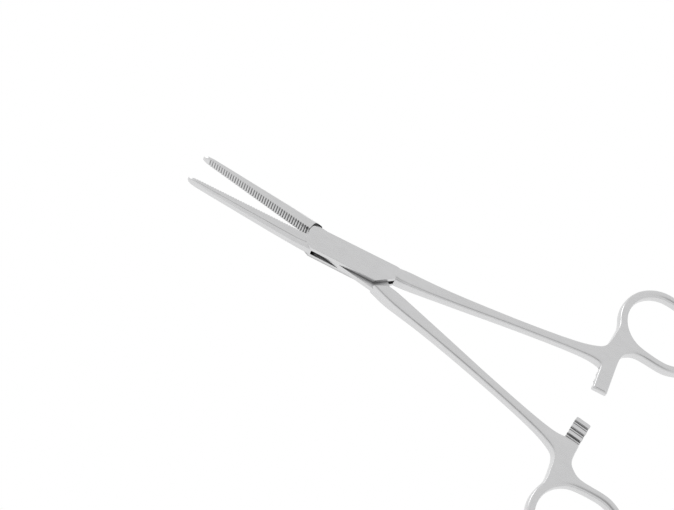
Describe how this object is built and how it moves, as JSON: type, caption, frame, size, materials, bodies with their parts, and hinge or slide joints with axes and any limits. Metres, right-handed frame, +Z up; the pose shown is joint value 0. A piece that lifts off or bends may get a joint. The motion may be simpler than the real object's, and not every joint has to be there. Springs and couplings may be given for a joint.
{
  "type": "haemostatic forceps",
  "caption": "Straight haemostatic artery forceps: two steel halves on a riveted box lock, with serrated jaws, a finger ring on each half and a toothed ratchet between the shanks.",
  "frame": {"origin": "on the pivot axis, at the underside of the box lock, which is the plane the forceps lie on", "axes": "+X from the jaws to the finger rings along the line that halves the opening, +Y towards the ring of the half with the box, +Z up through the thickness, along the pivot axis"},
  "size_m": [0.1534, 0.0942, 0.0048],
  "materials": {
    "half_steel": "satin",
    "pin_steel": "satin"
  },
  "bodies": {
    "female": {"female_half": "half_steel", "pivot_pin": "pin_steel"},
    "male": {"male_half": "half_steel"}
  },
  "joints": [
    {"name": "box_lock_hinge", "type": "hinge", "parent": "female", "child": "male", "pos_m": [0, 0, 0], "axis": [0, 0, 1], "range_deg": [-50, 9.4]}
  ]
}
